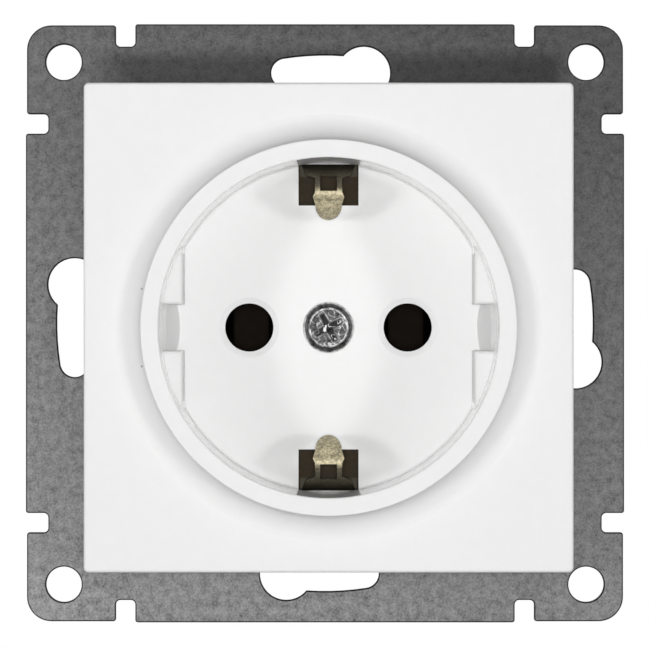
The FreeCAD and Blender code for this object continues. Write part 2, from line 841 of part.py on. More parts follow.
def terminal_screw(degrees):
    # Turned about X: its tip presses on the clamp plate, and its head lies in the base's wall.
    head_x = cage_outer_reach + slip
    shank = Part.makeCylinder(terminal_screw_radius, head_x - clamp_back, Vector(clamp_back, terminal_y, 0),
                              Vector(1, 0, 0))
    head = Part.makeCylinder(terminal_head_radius, terminal_head_height, Vector(head_x, terminal_y, 0),
                             Vector(1, 0, 0))
    top_x = head_x + terminal_head_height
    rims = []
    for edge in head.Edges:
        if edge.BoundBox.XMin > top_x - same_place:
            rims.append(edge)
    screw = shank.fuse(head.makeFillet(easy, rims))
    half = terminal_slot_width / 2
    slot = block((top_x - terminal_slot_depth, top_x + easy),
                 (terminal_y - terminal_head_radius, terminal_y + terminal_head_radius), (-half, half))
    return turned_by(screw.cut(slot), degrees)


def clip_outline():
    # What the upper clip shows from the front, as a prism: wings, neck, flare and rounded nose.
    y = (clip_bend[1] - 2 * clip_bend_radius, inner_front_y + slip)
    nose_radius = leg_foot_radius - nose_set_in
    right = [
        (wing_foot_half, strap_end),
        (wing_top_half, leg_foot_radius - wing_top_set_in),
        (neck_half, leg_foot_radius - neck_foot_set_in),
        (neck_half, leg_foot_radius - neck_top_set_in),
        (flare_half, leg_foot_radius - flare_set_in),
        (nose_half, nose_radius),
    ]
    left = [(-point[0], point[1]) for point in reversed(right)]
    tip = (0, clip_tip[0] - easy)
    shoulder = nose_half * math.cos(math.radians(45))
    drop = (nose_radius - tip[1]) * math.sin(math.radians(45))
    side_tip = (shoulder, nose_radius - drop)
    nose = [(side_tip, tip), ((-shoulder, side_tip[1]), (-nose_half, nose_radius))]
    face = filled(right[0], right[1:] + nose + left[1:], lambda point: Vector(point[0], y[0], point[1]))
    return face.extrude(Vector(0, y[1] - y[0], 0))


def nose_section(centre, run, crown):
    # The strip's section at one place along a nose, with both of its faces bowed out by the crown.
    out = Vector(-run.y, run.x, 0)
    side = Vector(0, 0, flare_half + slip)
    front = centre + out * (earth_thickness / 2)
    back = centre - out * (earth_thickness / 2)
    edges = []
    for start, end, rise in ((front - side, front + side, crown), (front + side, back + side, 0),
                             (back + side, back - side, crown), (back - side, front - side, 0)):
        if rise:
            edges.append(Part.Arc(start, (start + end) / 2 + out * rise, end).toShape())
        else:
            edges.append(Part.makeLine(start, end))
    return Part.Wire(edges)


def clip_nose():
    # One clip's nose before it is trimmed: flat where it leaves the fold, and bowed from there on.
    bend, belly, tip = [Vector(point[0], point[1], 0) for point in (clip_bend, clip_belly, clip_tip)]
    first_run = (belly - bend).normalize()
    last_run = (tip - belly).normalize()
    start = bend + first_run * nose_start
    middle_run = (first_run + last_run).normalize()
    sections = [
        nose_section(start, first_run, 0),
        nose_section((start + belly) / 2, first_run, nose_crown),
        nose_section(belly, middle_run, nose_crown),
        nose_section(tip, last_run, nose_tip_crown),
    ]
    return Part.makeLoft(sections, True, False)


def earth_bracket():
    # A strap across the base that turns forward at both ends, folds over and runs down as a nose.
    run = (Vector(clip_belly[0], clip_belly[1], 0) - Vector(clip_bend[0], clip_bend[1], 0)).normalize()
    nose_foot = (clip_bend[0] + run.x * nose_start, clip_bend[1] + run.y * nose_start)
    half_path = [(leg_foot_radius, strap_y), clip_bend, nose_foot]
    other = [(-point[0], point[1]) for point in reversed(half_path)]
    half_radii = [strap_bend_radius, clip_bend_radius]
    strip = folded_strip(other + half_path, half_radii[::-1] + half_radii, earth_thickness, strap_width)
    for angle in (0, 180):
        strip = strip.fuse(turned_by(clip_nose(), angle))
    strip.rotate(origin, along_y, -90)
    half = strap_width / 2
    strap_zone = block((-half, half), (inner_front_y, strap_back_y), (-strap_end, strap_end))
    slot = block((-clip_slot_half, clip_slot_half), (clip_bend[1] - 2 * clip_bend_radius, base_front_y),
                 (clip_slot_inner_radius, clip_slot_outer_radius))
    kept = strap_zone
    for angle in (0, 180):
        kept = kept.fuse(turned_by(clip_outline(), angle))
    bracket = strip.common(kept)
    for angle in (0, 180):
        bracket = bracket.cut(turned_by(slot, angle))
    through = (inner_front_y - easy, strap_back_y + easy)
    bracket = bracket.cut(rod(screw_radius + slip, through))
    bracket = bracket.cut(rod(tab_rivet_radius + slip / 2, through, 0, -tab_rivet_z))
    sink = (inner_front_y, inner_front_y + tab_rivet_head_radius - tab_rivet_radius)
    bracket = bracket.cut(cone((tab_rivet_head_radius, tab_rivet_radius + slip / 2), sink, 0, -tab_rivet_z))
    return bracket.removeSplitter()


def earth_tab():
    # An angle of strip: its foot lies on the strap, and its tail stands in the earth terminal.
    half = earth_thickness / 2
    foot_y = strap_back_y + half
    tail_x = tail_face + half
    points = [(tab_start, foot_y), (tail_x, foot_y), (tail_x, tail_end_y)]
    tab = folded_strip(points, [tab_bend_radius], earth_thickness, tab_width)
    hole = rod(tab_rivet_radius + slip / 2, (strap_back_y - easy, strap_back_y + earth_thickness + easy), tab_rivet_z)
    return turned_by(tab.cut(hole), 90)


def earth_tab_rivet():
    # A flush head at the front of the strap and a low round head behind the tab.
    back = strap_back_y + earth_thickness
    flush_depth = tab_rivet_head_radius - tab_rivet_radius - slip
    steps = [
        (tab_rivet_head_radius - slip, inner_front_y),
        (tab_rivet_radius, inner_front_y + flush_depth),
        (tab_rivet_radius, back),
        (tab_rivet_head_radius, back),
        (tab_rivet_head_radius, back + tab_rivet_head_thickness / 2),
        (tab_rivet_radius, back + tab_rivet_head_thickness),
        (0, back + tab_rivet_head_thickness),
    ]
    rivet = turned((0, inner_front_y), steps)
    rivet.translate(Vector(0, 0, -tab_rivet_z))
    return rivet


pieces = {
    "central_plate": central_plate(),
    "centre_screw": centre_screw(),
    "support_frame": support_frame(),
    "frame_rivets": frame_rivets(),
    "base": base(),
    "rear_cover": rear_cover(),
    "rear_cover_screws": rear_cover_screws(),
    "centre_nut": centre_nut(),
    "earth_bracket": earth_bracket(),
    "earth_tab": earth_tab(),
    "earth_tab_rivet": earth_tab_rivet(),
    "live_contact": pin_contact(1),
    "neutral_contact": pin_contact(-1),
}
for pole, degrees in (("live", 0), ("earth", 90), ("neutral", 180)):
    pieces[pole + "_terminal_cage"] = terminal_cage(degrees)
    pieces[pole + "_clamp_plate"] = clamp_plate(degrees)
    pieces[pole + "_terminal_screw"] = terminal_screw(degrees)

os.makedirs("parts", exist_ok=True)
for name, shape in pieces.items():
    shape.translate(Vector(well_axis_x, 0, well_axis_z))
    shape.exportStep("parts/" + name + ".step")
    print(name, len(shape.Solids), shape.isValid(), round(shape.Volume, 2))
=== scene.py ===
import math
import bmesh
import bpy
import numpy as np
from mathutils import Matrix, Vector


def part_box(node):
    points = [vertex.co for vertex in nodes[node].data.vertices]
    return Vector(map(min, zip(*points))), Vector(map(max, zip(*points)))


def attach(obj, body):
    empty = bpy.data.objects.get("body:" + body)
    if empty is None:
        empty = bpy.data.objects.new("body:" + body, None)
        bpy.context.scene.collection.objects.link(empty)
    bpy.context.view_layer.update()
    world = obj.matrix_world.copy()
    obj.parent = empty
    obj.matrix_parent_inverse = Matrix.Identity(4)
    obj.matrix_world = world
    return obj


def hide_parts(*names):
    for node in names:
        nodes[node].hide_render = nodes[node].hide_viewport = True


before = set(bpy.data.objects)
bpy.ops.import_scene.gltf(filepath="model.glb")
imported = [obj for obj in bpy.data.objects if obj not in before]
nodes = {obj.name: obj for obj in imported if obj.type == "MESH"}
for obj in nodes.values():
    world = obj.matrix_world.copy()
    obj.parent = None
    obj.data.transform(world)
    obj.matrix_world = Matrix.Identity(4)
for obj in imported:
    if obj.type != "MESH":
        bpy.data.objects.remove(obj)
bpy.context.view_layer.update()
mm = 0.001
wellAxis = (0.42 * mm, -0.5 * mm)  # x and z of the well's axis, as in the solids
colourMix = dict(factor=0, first=6, second=7, result=2)  # a Mix node's sockets for colours
noiseMiddle = 0.5  # what a noise gives on average
plainWhite = (1.0, 1.0, 1.0, 1.0)


# Shader helpers

def newGroup(name, inputs, outputs):
    # A shader node group whose named inputs and outputs are all numbers.
    group = bpy.data.node_groups.new(name, "ShaderNodeTree")
    for label, value in inputs.items():
        socket = group.interface.new_socket(label, in_out="INPUT", socket_type="NodeSocketFloat")
        socket.default_value = value
    for label in outputs:
        group.interface.new_socket(label, in_out="OUTPUT", socket_type="NodeSocketFloat")
    given = group.nodes.new("NodeGroupInput")
    out = group.nodes.new("NodeGroupOutput")
    return group, given.outputs, out.inputs


def addGroup(tree, group, **values):
    node = tree.nodes.new("ShaderNodeGroup")
    node.node_tree = group
    for key, value in values.items():
        node.inputs[key].default_value = value
    return node


def addNode(tree, kind, **settings):
    node = tree.nodes.new(kind)
    for key, value in settings.items():
        if key in node.inputs:
            node.inputs[key].default_value = value
        else:
            setattr(node, key, value)
    return node


def addMath(tree, operation, first, second=None, clamp=False):
    node = addNode(tree, "ShaderNodeMath", operation=operation, use_clamp=clamp)
    for index, value in enumerate((first, second)):
        if value is None:
            continue
        if isinstance(value, (int, float)):
            node.inputs[index].default_value = value
        else:
            tree.links.new(value, node.inputs[index])
    return node.outputs[0]


def addProduct(tree, product, *factors):
    for factor in factors:
        product = addMath(tree, "MULTIPLY", product, factor)
    return product


def addRest(tree, share):
    # What a share leaves of 1.
    return addMath(tree, "SUBTRACT", 1.0, share)


def addBetween(tree, share, low, high):
    # From low, where the share is 0, to high, where it is 1.
    return addMath(tree, "ADD", addProduct(tree, share, high - low), low)


def addSmoothStep(tree, value, low, high):
    # 0 below low, 1 above high, and a smooth rise between them.
    node = addNode(tree, "ShaderNodeMapRange", interpolation_type="SMOOTHSTEP")
    node.inputs["From Min"].default_value = low
    node.inputs["From Max"].default_value = high
    tree.links.new(value, node.inputs["Value"])
    return node.outputs["Result"]


def addMix(tree, share, first, second):
    # A colour between two plain ones.
    node = addNode(tree, "ShaderNodeMix", data_type="RGBA")
    tree.links.new(share, node.inputs[colourMix["factor"]])
    node.inputs[colourMix["first"]].default_value = (*first, 1.0)
    node.inputs[colourMix["second"]].default_value = (*second, 1.0)
    return node.outputs[colourMix["result"]]


def addTone(tree, colour, tone):
    # A colour times a tone, which darkens it below 1 and lightens it above.
    node = addNode(tree, "ShaderNodeMix", data_type="RGBA", blend_type="MULTIPLY")
    node.inputs[colourMix["factor"]].default_value = 1.0
    tree.links.new(colour, node.inputs[colourMix["first"]])
    tree.links.new(tone, node.inputs[colourMix["second"]])
    return node.outputs[colourMix["result"]]


def addShaderMix(tree, *sockets):
    # Two shaders, mixed by the first socket.
    mix = tree.nodes.new("ShaderNodeMixShader")
    for index, socket in enumerate(sockets):
        tree.links.new(socket, mix.inputs[index])
    return mix.outputs[0]


def addPlace(tree):
    return addNode(tree, "ShaderNodeTexCoord").outputs["Object"]


def addParts(tree, vector):
    # The X, Y and Z of a place or a direction.
    parts = addNode(tree, "ShaderNodeSeparateXYZ")
    tree.links.new(vector, parts.inputs[0])
    return parts.outputs


def addFacing(tree, direction):
    # 1 where the surface faces straight along X, Y or Z, either way, down to 0 where it is side on.
    normal = addNode(tree, "ShaderNodeNewGeometry").outputs["True Normal"]
    return addMath(tree, "ABSOLUTE", addParts(tree, normal)[direction])


def newMaterial(name):
    material = bpy.data.materials.new(name)
    material.use_nodes = True
    tree = material.node_tree
    return material, tree, tree.nodes["Principled BSDF"]


# Effects, each a node group that is made once

facing = dict(plate=(0.94, 0.995), wall=(0.1, 0.5), flank=(0.30, 0.60))  # where each starts and is full


def makeAxisRadius():
    # The distance of a point from an axis that runs along Y through X, Z.
    group, given, out = newGroup("axisRadius", dict(X=0.0, Z=0.0), ["Radius"])
    place = addParts(group, addPlace(group))
    across = addMath(group, "SUBTRACT", place["X"], given["X"])
    up = addMath(group, "SUBTRACT", place["Z"], given["Z"])
    total = addMath(group, "ADD", addProduct(group, across, across), addProduct(group, up, up))
    group.links.new(addMath(group, "SQRT", total), out["Radius"])
    return group


axisRadius = makeAxisRadius()


def addAround(tree, given):
    # The distance from the axis that a group is given.
    around = addGroup(tree, axisRadius)
    for label in ("X", "Z"):
        tree.links.new(given[label], around.inputs[label])
    return around.outputs["Radius"]


def makePaintedPlateLight():
    # Painted light over the frame: the zinc's colour goes lighter towards the left and the bottom,
    # and darker towards the right and the top, as light falls; and where a stamped edge turns away
    # from its faces, which is used for painted shade on those edges.
    group, given, out = newGroup("paintedPlateLight", dict(Across=0.0, Up=0.0), ["Tone", "Face"])
    place = addParts(group, addPlace(group))
    across = addProduct(group, place["X"], given["Across"])
    up = addProduct(group, place["Z"], given["Up"])
    lightDrift = addMath(group, "ADD", across, up)
    group.links.new(addMath(group, "ADD", lightDrift, 1.0), out["Tone"])
    group.links.new(addSmoothStep(group, addFacing(group, "Y"), *facing["plate"]), out["Face"])
    return group


paintedShadowEdges = dict(top=(30.6 * mm, 33.3 * mm), foot=27.5 * mm, left=(-29.5 * mm, -22.0 * mm),
                  right=(26.5 * mm, 29.5 * mm), back=-0.5 * mm)


def makePaintedShadow():
    # A painted shadow of the cover on the frame above it: 1 outside the strip, fading to the lowest
    # tone inside.
    group, given, out = newGroup("paintedShadow", dict(Lowest=0.5), ["Tone"])
    place = addParts(group, addPlace(group))
    below = addRest(group, addSmoothStep(group, place["Z"], *paintedShadowEdges["top"]))
    above = addMath(group, "GREATER_THAN", place["Z"], paintedShadowEdges["foot"])
    fromLeft = addSmoothStep(group, place["X"], *paintedShadowEdges["left"])
    toRight = addRest(group, addSmoothStep(group, place["X"], *paintedShadowEdges["right"]))
    front = addMath(group, "LESS_THAN", place["Y"], paintedShadowEdges["back"])
    upright = addProduct(group, below, above)
    across = addProduct(group, fromLeft, toRight)
    loss = addProduct(group, upright, across, front, addRest(group, given["Lowest"]))
    group.links.new(addRest(group, loss), out["Tone"])
    return group


def makeWallMask():
    # 1 on surfaces from one distance to another of an axis along Y that stand along that axis,
    # 0 elsewhere.
    group, given, out = newGroup("wallMask", dict(X=0.0, Z=0.0, Start=0.01, Reach=0.02), ["Wall"])
    radius = addAround(group, given)
    near = addMath(group, "LESS_THAN", radius, given["Reach"])
    beyond = addMath(group, "GREATER_THAN", radius, given["Start"])
    upright = addRest(group, addSmoothStep(group, addFacing(group, "Y"), *facing["wall"]))
    group.links.new(addProduct(group, near, beyond, upright), out["Wall"])
    return group


strapRise = 6.0  # how suddenly the strap darkens with depth


def makePaintedClipShade():
    # Painted shade on the earth clips: a tone that falls from 1 to a rest with the distance up or down
    # from the well's axis, and again with depth, so the legs are darker than their noses and the strap
    # darker still. Surfaces that face left or right are darker too, also as painted shade.
    inputs = {"Level": 0.0, "Fold": 0.0, "Leg": 1.0, "Leg Tone": 0.5, "Back": 1.0, "Back Tone": 0.5,
              "Flank Loss": 0.0}
    group, given, out = newGroup("paintedClipShade", inputs, ["Tone"])
    place = addParts(group, addPlace(group))
    away = addMath(group, "ABSOLUTE", addMath(group, "SUBTRACT", place["Z"], given["Level"]))
    past = addMath(group, "SUBTRACT", away, given["Fold"])
    run = addMath(group, "SUBTRACT", given["Leg"], given["Fold"])
    leg = addMath(group, "DIVIDE", past, run, clamp=True)
    depth = addMath(group, "DIVIDE", place["Y"], given["Back"], clamp=True)
    strap = addProduct(group, addMath(group, "POWER", depth, strapRise), leg)
    flank = addSmoothStep(group, addFacing(group, "X"), *facing["flank"])
    legLoss = addProduct(group, leg, addRest(group, given["Leg Tone"]))
    backLoss = addProduct(group, strap, addRest(group, given["Back Tone"]))
    flankLoss = addProduct(group, flank, given["Flank Loss"])
    kept = addProduct(group, addRest(group, legLoss), addRest(group, backLoss), addRest(group, flankLoss))
    group.links.new(kept, out["Tone"])
    return group


headTonesAndHighlights = dict(reach=3.3 * mm, strength=4.0, slopeHighlight=90.0, wall=(0.15, 0.35), nearFlat=(0.86, 0.97), most=3.6,
                 floor=(5.36 * mm, 5.55 * mm), disc=2.2 * mm, recessShade=0.75,
                 scuffs=dict(Scale=1150.0, Detail=1.0, Roughness=0.5), scuffWidth=(0.006, 0.030),
                 scuffTone=1.3,
                 stops=[(0.0, 0.06), (2.16, 0.06), (2.24, 0.60), (2.36, 0.60), (2.44, 0.03), (2.68, 0.10),
                        (2.78, 0.02), (2.85, 0.35), (2.92, 0.35), (2.97, 0.03), (3.10, 0.03), (3.2, 0.35)])


def makeHeadTonesAndHighlights():
    # Tones around the middle screw's axis: the recess, a painted highlight on the edge of the raised
    # middle, the dark rim around it and a painted highlight on the outer edge. Everything further out
    # keeps one plain tone. Slopes get a painted highlight, steep walls stay dark as painted shade, and
    # the recess's floor is darkened as painted shade. Scuffs are the thin lines where a noise crosses
    # its middle, over the head's disc only.
    group, given, out = newGroup("headTonesAndHighlights", dict(X=0.0, Z=0.0), ["Tone", "Worn"])
    radius = addAround(group, given)
    ramp = group.nodes.new("ShaderNodeValToRGB")
    group.links.new(addMath(group, "DIVIDE", radius, headTonesAndHighlights["reach"]), ramp.inputs[0])
    stops = headTonesAndHighlights["stops"]
    while len(ramp.color_ramp.elements) < len(stops):
        ramp.color_ramp.elements.new(0.5)  # its place is set below
    for element, (distance, tone) in zip(ramp.color_ramp.elements, stops):
        element.position = distance * mm / headTonesAndHighlights["reach"]
        element.color = (tone, tone, tone, 1.0)
    flat = addFacing(group, "Y")
    slope = addProduct(group, addSmoothStep(group, flat, *headTonesAndHighlights["wall"]),
                       addRest(group, addSmoothStep(group, flat, *headTonesAndHighlights["nearFlat"])))
    litSlopes = addMath(group, "ADD", addProduct(group, slope, headTonesAndHighlights["slopeHighlight"]), headTonesAndHighlights["strength"])
    bright = addMath(group, "MINIMUM", addProduct(group, ramp.outputs[0], litSlopes), headTonesAndHighlights["most"])
    place = addPlace(group)
    low = addSmoothStep(group, addParts(group, place)["Y"], *headTonesAndHighlights["floor"])
    inside = addMath(group, "LESS_THAN", radius, headTonesAndHighlights["disc"])
    recessShade = addProduct(group, low, inside, -headTonesAndHighlights["recessShade"])
    kept = addProduct(group, bright, addMath(group, "ADD", recessShade, 1.0))
    noise = addNode(group, "ShaderNodeTexNoise", **headTonesAndHighlights["scuffs"])
    group.links.new(place, noise.inputs["Vector"])
    away = addMath(group, "ABSOLUTE", addMath(group, "SUBTRACT", noise.outputs["Fac"], noiseMiddle))
    line = addRest(group, addSmoothStep(group, away, *headTonesAndHighlights["scuffWidth"]))
    scuff = addProduct(group, line, inside, headTonesAndHighlights["scuffTone"])
    group.links.new(addMath(group, "MAXIMUM", kept, scuff), out["Tone"])
    group.links.new(slope, out["Worn"])
    return group


grainNoise = dict(fine=dict(Detail=3.0, Roughness=0.6), broad=dict(Detail=4.0, Roughness=0.6))


def makeSpeckle():
    # Two sizes of noise laid over each other: a mask of light and dark specks, and a fine height.
    inputs = {"Scale": 900.0, "Contrast": 1.0, "Broad Scale": 200.0, "Broad Share": 0.35}
    group, given, out = newGroup("speckle", inputs, ["Mask", "Height"])
    place = addPlace(group)
    fine = addNode(group, "ShaderNodeTexNoise", **grainNoise["fine"])
    broad = addNode(group, "ShaderNodeTexNoise", **grainNoise["broad"])
    for noise, scale in ((fine, "Scale"), (broad, "Broad Scale")):
        group.links.new(place, noise.inputs["Vector"])
        group.links.new(given[scale], noise.inputs["Scale"])
    share = given["Broad Share"]
    both = addMath(group, "ADD", addProduct(group, fine.outputs["Fac"], addRest(group, share)),
                   addProduct(group, broad.outputs["Fac"], share))
    spread = addProduct(group, addMath(group, "SUBTRACT", both, noiseMiddle), given["Contrast"])
    group.links.new(addMath(group, "ADD", spread, noiseMiddle, clamp=True), out["Mask"])
    group.links.new(both, out["Height"])
    return group


paintedPlateLight = makePaintedPlateLight()
paintedShadow = makePaintedShadow()
wallMask = makeWallMask()
paintedClipShade = makePaintedClipShade()
headToneAndHighlightGroup = makeHeadTonesAndHighlights()
speckle = makeSpeckle()

specks = dict(across=-21.7 * mm, up=4.5 * mm, inner=0.07 * mm, outer=0.20 * mm, tone=0.5)


def addSpecks(tree):
    # Two small dark dots in the curve at the ring's left foot.
    left, level = wellAxis[0] + specks["across"], wellAxis[1]
    lower, upper = (addGroup(tree, axisRadius, X=left, Z=level + side * specks["up"]) for side in (-1, 1))
    nearest = addMath(tree, "MINIMUM", lower.outputs["Radius"], upper.outputs["Radius"])
    clear = addSmoothStep(tree, nearest, specks["inner"], specks["outer"])
    return addBetween(tree, clear, specks["tone"], 1.0)


# Finishes: light and dark are the colours of the specks, rough their roughness from dark to light,
# grain their number to the metre, and bump how much they stand out.

bumpHeight = 0.1 * mm
finishes = {
    "white": dict(light=(0.79, 0.79, 0.79), dark=(0.76, 0.76, 0.758), metallic=0.0, rough=(0.46, 0.54),
                  grain={"Scale": 700.0, "Broad Scale": 160.0, "Contrast": 1.5}, bump=0.03,
                  specular=0.25, specks=True,
                  wallGlossAndLight=dict(start=19.3 * mm, reach=20.3 * mm, gain=0.40, paintedWallLight=0.18)),
    "dark": dict(light=(0.055, 0.038, 0.018), dark=(0.022, 0.015, 0.007), metallic=0.0, rough=(0.45, 0.65),
                 grain={"Scale": 1500.0, "Broad Scale": 300.0, "Contrast": 2.4}, bump=0.25,
                 specular=0.10),
    "zinc": dict(light=(0.238, 0.238, 0.238), dark=(0.04, 0.04, 0.04), metallic=0.7, rough=(0.60, 0.78),
                 grain={"Scale": 4200.0, "Broad Scale": 950.0, "Broad Share": 0.5, "Contrast": 3.0},
                 bump=0.20, specular=0.5, tone=(-5.0, -12.0), edge=0.10, paintedShadow=0.45),
    "screw": dict(light=(0.24, 0.24, 0.24), dark=(0.02, 0.02, 0.02), metallic=1.0, rough=(0.30, 0.5),
                  grain={"Scale": 2400.0, "Broad Scale": 900.0, "Broad Share": 0.4, "Contrast": 4.0},
                  bump=0.25, specular=0.5, rings=0.7),
    "nickel": dict(light=(0.65, 0.575, 0.39), dark=(0.28, 0.25, 0.16), metallic=0.55, rough=(0.50, 0.70),
                   grain={"Scale": 3400.0, "Broad Scale": 1100.0, "Contrast": 6.0}, bump=0.5,
                   specular=0.5,
                   paintedClipShade={"Fold": 15.8 * mm, "Leg": 16.6 * mm, "Leg Tone": 0.36, "Back": 11.2 * mm,
                            "Back Tone": 0.25, "Flank Loss": 0.6}),
    # Brass painted nearly black: painted shade where the contacts sit behind the pin holes.
    "brassPaintedShade": dict(light=(0.012, 0.009, 0.007), dark=(0.005, 0.004, 0.003), metallic=1.0, rough=(0.5, 0.7),
                  grain={"Scale": 900.0, "Broad Scale": 200.0, "Contrast": 2.0}, bump=0.12,
                  specular=0.5),
}


def makeFinish(name):
    look = finishes[name]
    material, tree, shader = newMaterial(name + "Finish")
    pattern = addGroup(tree, speckle, **look["grain"])
    colour = addMix(tree, pattern.outputs["Mask"], look["dark"], look["light"])
    rough = addBetween(tree, pattern.outputs["Mask"], *look["rough"])
    # Painted light and shade on the zinc: lighter towards the left and the bottom, darker towards the
    # right and the top, and painted shade on edges that turn away from the front.
    if "tone" in look:
        across, up = look["tone"]
        lightDrift = addGroup(tree, paintedPlateLight, Across=across, Up=up)
        colour = addTone(tree, colour, lightDrift.outputs["Tone"])
        colour = addTone(tree, colour, addBetween(tree, lightDrift.outputs["Face"], look["edge"], 1.0))
        # Painted shadow of the cover on the frame strip above it.
        colour = addTone(tree, colour, addGroup(tree, paintedShadow, Lowest=look["paintedShadow"]).outputs["Tone"])
    # Painted highlights and shade on the screw heads, and less metal on their slopes.
    if "rings" in look:
        rings = addGroup(tree, headToneAndHighlightGroup, X=wellAxis[0], Z=wellAxis[1])
        colour = addTone(tree, colour, rings.outputs["Tone"])
        bare = addProduct(tree, rings.outputs["Worn"], -look["rings"])
        tree.links.new(addMath(tree, "ADD", bare, look["metallic"]), shader.inputs["Metallic"])
    # Painted shade on the earth clips' legs, strap and side faces.
    if "paintedClipShade" in look:
        clipShade = addGroup(tree, paintedClipShade, Level=wellAxis[1], **look["paintedClipShade"])
        colour = addTone(tree, colour, clipShade.outputs["Tone"])
    if "specks" in look:
        colour = addTone(tree, colour, addSpecks(tree))
    # The well's wall: lower roughness for a real gloss, and a paler colour that is painted light.
    if "wallGlossAndLight" in look:
        wallGlossAndLight = look["wallGlossAndLight"]
        band = addGroup(tree, wallMask, X=wellAxis[0], Z=wellAxis[1], Start=wallGlossAndLight["start"],
                        Reach=wallGlossAndLight["reach"]).outputs["Wall"]
        paintedWallLight = addMath(tree, "ADD", addProduct(tree, band, wallGlossAndLight["paintedWallLight"]), 1.0)
        colour = addTone(tree, colour, paintedWallLight)
        rough = addMath(tree, "SUBTRACT", rough, addProduct(tree, band, wallGlossAndLight["gain"]))
    tree.links.new(colour, shader.inputs["Base Color"])
    tree.links.new(rough, shader.inputs["Roughness"])
    shader.inputs["Metallic"].default_value = look["metallic"]
    shader.inputs["Specular IOR Level"].default_value = look["specular"]
    bump = addNode(tree, "ShaderNodeBump", Strength=look["bump"], Distance=bumpHeight)
    tree.links.new(pattern.outputs["Height"], bump.inputs["Height"])
    tree.links.new(bump.outputs["Normal"], shader.inputs["Normal"])
    return material


materials = {name: makeFinish(name) for name in finishes}
nodeFinish = {
    "white": ["central_plate"],
    "dark": ["base", "rear_cover"],
    "zinc": ["support_frame", "centre_nut", "live_terminal_cage", "neutral_terminal_cage",
             "earth_terminal_cage", "live_clamp_plate", "neutral_clamp_plate", "earth_clamp_plate"],
    "screw": ["centre_screw", "rear_cover_screws", "live_terminal_screw", "neutral_terminal_screw",
              "earth_terminal_screw"],
    "nickel": ["earth_bracket", "frame_rivets"],
    "brassPaintedShade": ["live_contact", "neutral_contact", "earth_tab", "earth_tab_rivet"],
}
for finish, members in nodeFinish.items():
    for member in members:
        nodes[member].data.materials.clear()
        nodes[member].data.materials.append(materials[finish])
print("materials on", len(nodes), "nodes")


# Mesh helpers

def smoothFaces(mesh, sharp):
    # Smooth shading, apart from edges where two faces meet at more than the sharp angle.
    mesh.polygons.foreach_set("use_smooth", np.ones(len(mesh.polygons), dtype=bool))
    mesh.set_sharp_from_angle(angle=sharp)


def addObject(name, data):
    thing = bpy.data.objects.new(name, data)
    bpy.context.scene.collection.objects.link(thing)
    return thing


# The stamped frame, with the soft edges that a press leaves

frameEdge = dict(width=0.15 * mm, segments=2, angle=math.radians(50), merge=0.002 * mm,
                 sharp=math.radians(40))


def makeSoftFrame():
    mesh = nodes["support_frame"].data.copy()
    mesh.name = "framePlateSoft"
    shell = bmesh.new()
    shell.from_mesh(mesh)
    bmesh.ops.remove_doubles(shell, verts=shell.verts, dist=frameEdge["merge"])
    shell.to_mesh(mesh)
    shell.free()
    smoothFaces(mesh, frameEdge["sharp"])
    plate = addObject("framePlateSoft", mesh)
    bevel = plate.modifiers.new("rolledEdge", "BEVEL")
    bevel.width = frameEdge["width"]
    bevel.segments = frameEdge["segments"]
    bevel.limit_method = "ANGLE"
    bevel.angle_limit = frameEdge["angle"]
    bevel.use_clamp_overlap = False
    bevel.loop_slide = False
    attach(plate, "root")
    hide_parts("support_frame")


makeSoftFrame()
print("frame edges are soft")


# Screws, with the threads and recesses that the solids leave plain; their sizes are in millimetres

threadForm = dict(grain=0.07, fade=0.4, crest=1.25, steep=1.5, sharp=math.radians(38))


def makeSurface(name, grid, replaced):
    # A closed skin over a grid of rows around an axis: the first and last rows close in one point.
    rows, columns = grid.shape[:2]
    ring = grid[1:-1].reshape(-1, 3)
    points = np.vstack([grid[0].mean(axis=0)[None], ring, grid[-1].mean(axis=0)[None]])
    here = 1 + np.arange((rows - 3) * columns).reshape(rows - 3, columns)
    beside = np.roll(here, -1, axis=1)
    quads = np.stack([here, here + columns, beside + columns, beside], axis=-1).reshape(-1, 4)
    first = 1 + np.arange(columns)
    last = first + (rows - 3) * columns
    tips = np.vstack([np.stack([np.zeros_like(first), first, np.roll(first, -1)], axis=-1),
                      np.stack([np.full_like(last, len(points) - 1), np.roll(last, -1), last], axis=-1)])
    mesh = bpy.data.meshes.new(name)
    mesh.from_pydata(points.tolist(), [], quads.tolist() + tips.tolist())
    smoothFaces(mesh, threadForm["sharp"])
    shell = bmesh.new()
    shell.from_mesh(mesh)
    bmesh.ops.recalc_face_normals(shell, faces=shell.faces)
    if shell.calc_volume(signed=True) < 0:
        bmesh.ops.reverse_faces(shell, faces=shell.faces)
    shell.to_mesh(mesh)
    shell.free()
    mesh.materials.append(materials["screw"])
    piece = addObject(name, mesh)
    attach(piece, "root")
    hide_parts(replaced)


def smoothRise(distance, soft):
    # 0 up to an edge, and a smooth rise to 1 over the soft width inside it.
    share = np.clip(distance / soft, 0, 1)
    return share * share * (3 - 2 * share)


def crossDepth(radius, angle, recess):
    # A cross recess: each wing is narrower, and shallower, the further out it reaches.
    turn = (angle - recess["turn"] + math.pi / 4) % (math.pi / 2) - math.pi / 4
    along, aside = radius * np.cos(turn), np.abs(radius * np.sin(turn))
    width = recess["width"] / 2 * (1 - recess["taper"] * along / recess["reach"])
    floor = np.clip((recess["reach"] - along) * recess["slope"], 0, recess["depth"])
    return floor * smoothRise(width - aside, recess["soft"])


def slotDepth(radius, angle, recess):
    # A straight slot right across the head.
    aside = np.abs(radius * np.sin(angle - recess["turn"]))
    return recess["depth"] * smoothRise(recess["width"] / 2 - aside, recess["soft"])


